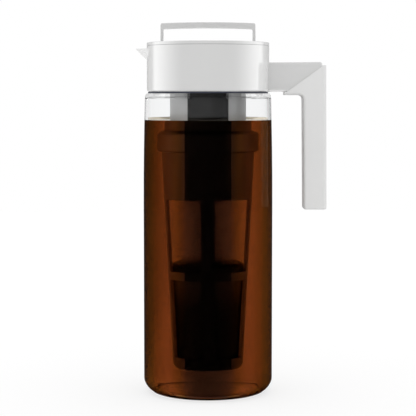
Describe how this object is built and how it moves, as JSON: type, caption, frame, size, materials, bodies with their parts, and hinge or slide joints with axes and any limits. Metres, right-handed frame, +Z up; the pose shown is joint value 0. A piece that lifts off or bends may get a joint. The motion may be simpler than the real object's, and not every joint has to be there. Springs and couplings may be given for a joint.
{
  "type": "cold brew coffee maker",
  "caption": "Clear coffee jug with a white spout collar and side grip, a twist lid with a folding carry bail, and a mesh infuser basket screwed on under the lid.",
  "frame": {"origin": "centre of the jug's base, in the plane that it stands on", "axes": "+Z up along the jug's axis, +X towards the handle, the spout towards -X"},
  "size_m": [0.1588, 0.108, 0.3102],
  "materials": {
    "clear_jug": "clear, polished",
    "white_plastic": "satin gloss",
    "grip_rubber": "matt",
    "dark_plastic": "polished smoke black",
    "seal_rubber": "matt",
    "filter_mesh": "fine woven mesh",
    "pin_steel": "bright drawn wire",
    "coffee": "clear brown liquid",
    "coffee_grounds": "wet, coarse"
  },
  "bodies": {
    "jug": {"jug": "clear_jug", "collar_gasket": "seal_rubber", "spout_collar": "white_plastic", "handle_grip": "grip_rubber", "coffee_fill": "coffee"},
    "lid_seals": {"lid_gasket": "seal_rubber", "plug_seal": "seal_rubber"},
    "lid": {"lid_cap": "white_plastic", "valve_sleeve": "white_plastic", "infuser_tube": "dark_plastic", "tube_seal": "seal_rubber", "bail_pin_left": "pin_steel", "bail_pin_right": "pin_steel"},
    "bail": {"bail": "white_plastic"},
    "coupling_ring": {"coupling_ring": "dark_plastic"},
    "basket": {"basket_frame": "dark_plastic", "upper_mesh": "filter_mesh", "lower_mesh": "filter_mesh", "basket_gasket": "seal_rubber", "coffee_grounds": "coffee_grounds"}
  },
  "joints": [
    {"name": "lid_lift", "type": "slide", "parent": "jug", "child": "lid_seals", "axis": [0, 0, 1], "range_m": [0, 0.28]},
    {"name": "lid_turn", "type": "hinge", "parent": "lid_seals", "child": "lid", "pos_m": [0, 0, 0.2904], "axis": [0, 0, 1], "range_deg": [-60, 60]},
    {"name": "bail_flip", "type": "hinge", "parent": "lid", "child": "bail", "pos_m": [0, 0, 0.289], "axis": [1, 0, 0], "range_deg": [-90, 90]},
    {"name": "ring_turn", "type": "hinge", "parent": "lid", "child": "coupling_ring", "pos_m": [0, 0, 0.21], "axis": [0, 0, 1], "range_deg": [0, 720]},
    {"name": "basket_drop", "type": "slide", "parent": "lid", "child": "basket", "axis": [0, 0, 1], "range_m": [-0.012, 0]}
  ],
  "couplings": [
    {"joint": "ring_turn", "follows": "basket_drop", "rad_per_m": -1047.2}
  ]
}
